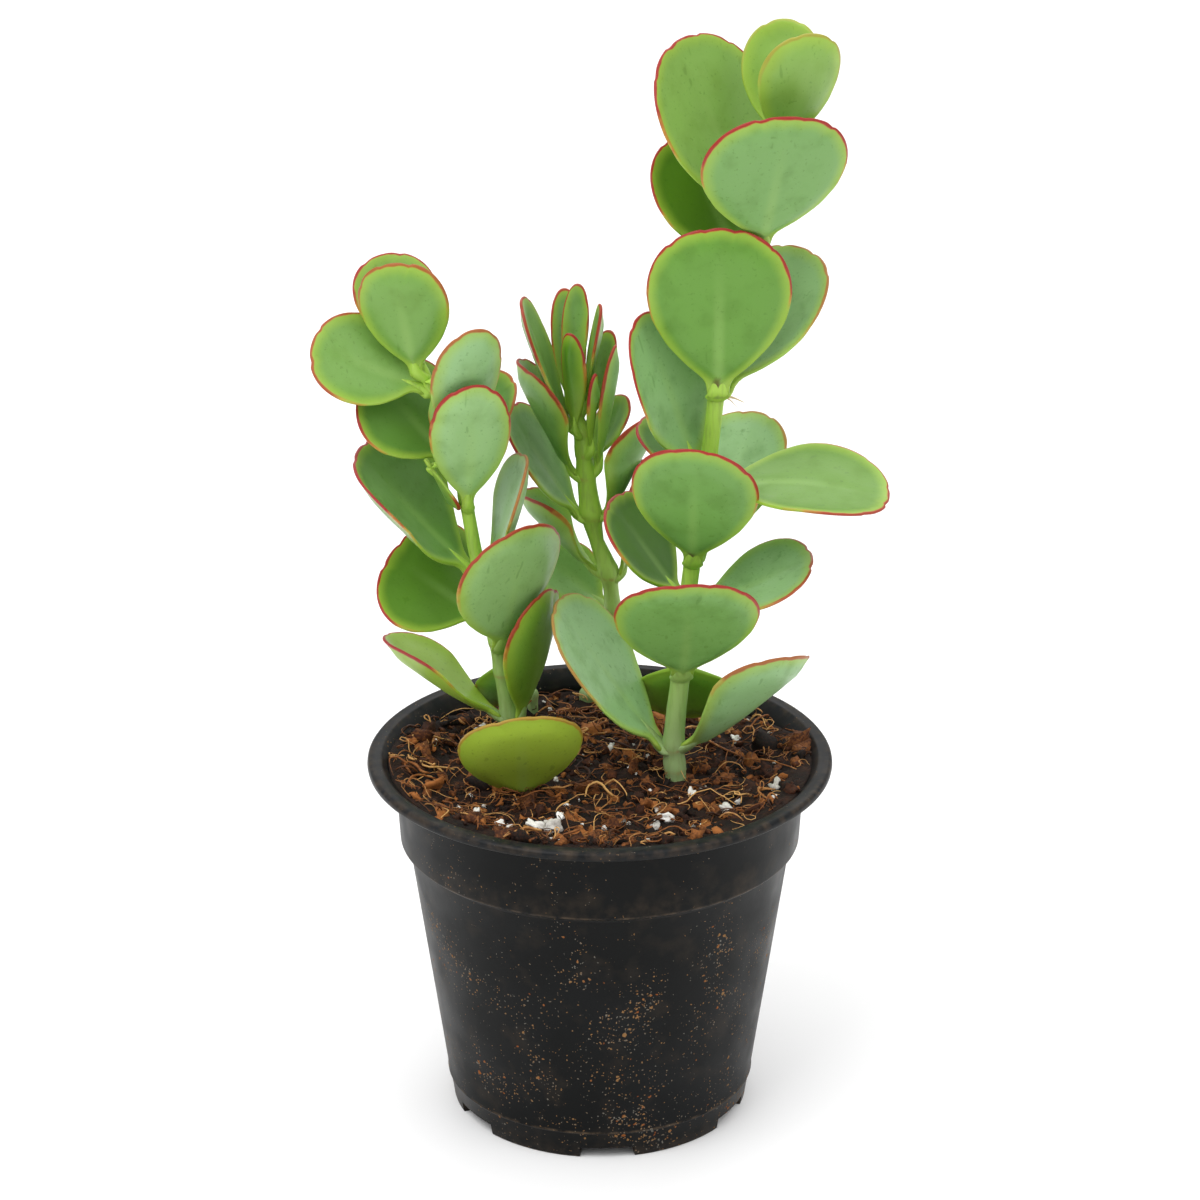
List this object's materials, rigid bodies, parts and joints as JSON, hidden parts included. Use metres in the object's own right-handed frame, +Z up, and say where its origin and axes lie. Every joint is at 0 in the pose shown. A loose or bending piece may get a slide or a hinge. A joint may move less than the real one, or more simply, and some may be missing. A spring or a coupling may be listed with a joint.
{
  "type": "potted silver dollar jade",
  "caption": "Branching succulent with rounded, red-edged fleshy leaves on upright stems, growing in coco-fibre soil in a tapered black plastic nursery pot with a wide flat rim.",
  "frame": {"origin": "on the floor under the middle of the whole object's box, within a tenth of a millimetre of the pot's own axis", "axes": "+Z up along the pot's axis, -Y towards the plant's face, +X to its right"},
  "size_m": [0.1528, 0.127, 0.3056],
  "materials": {
    "pot": "satin injection-moulded black polypropylene with a light dusting of soil",
    "soil": "loose coco fibre and bark chips with white perlite",
    "stem": "smooth pale green fleshy stem with ring scars",
    "leaf": "waxy sage-green leaf with a yellow-green band and a thin red margin"
  },
  "bodies": {
    "root": {"stem_right": "stem", "leaf_right_1a": "leaf", "leaf_right_1b": "leaf", "leaf_right_2a": "leaf", "leaf_right_2b": "leaf", "leaf_right_3a": "leaf", "leaf_right_3b": "leaf", "leaf_right_4a": "leaf", "leaf_right_4b": "leaf", "leaf_right_5a": "leaf", "leaf_right_5b": "leaf", "leaf_right_6a": "leaf", "leaf_right_7a": "leaf", "leaf_right_7b": "leaf", "leaf_right_8a": "leaf", "leaf_right_9a": "leaf", "leaf_right_9b": "leaf", "leaf_right_10a": "leaf", "leaf_right_10b": "leaf", "leaf_right_11a": "leaf", "stem_left": "stem", "leaf_left_1a": "leaf", "leaf_left_1b": "leaf", "leaf_left_2a": "leaf", "leaf_left_2b": "leaf", "leaf_left_3a": "leaf", "leaf_left_3b": "leaf", "leaf_left_4a": "leaf", "leaf_left_4b": "leaf", "leaf_left_5a": "leaf", "leaf_left_6a": "leaf", "leaf_left_7a": "leaf", "leaf_left_7b": "leaf", "leaf_left_8a": "leaf", "leaf_left_8b": "leaf", "leaf_left_9a": "leaf", "leaf_left_9b": "leaf", "leaf_left_10a": "leaf", "stem_middle": "stem", "leaf_middle_0a": "leaf", "leaf_middle_1a": "leaf", "leaf_middle_1b": "leaf", "leaf_middle_2a": "leaf", "leaf_middle_2b": "leaf", "leaf_middle_3a": "leaf", "leaf_middle_3b": "leaf", "leaf_middle_4a": "leaf", "leaf_middle_4b": "leaf", "leaf_middle_5a": "leaf", "leaf_middle_5b": "leaf", "leaf_middle_6a": "leaf", "leaf_middle_6b": "leaf", "leaf_middle_7a": "leaf", "leaf_middle_7b": "leaf", "stem_back": "stem", "stem_stub": "stem", "leaf_soil": "leaf", "pot": "pot", "soil": "soil"}
  },
  "joints": []
}
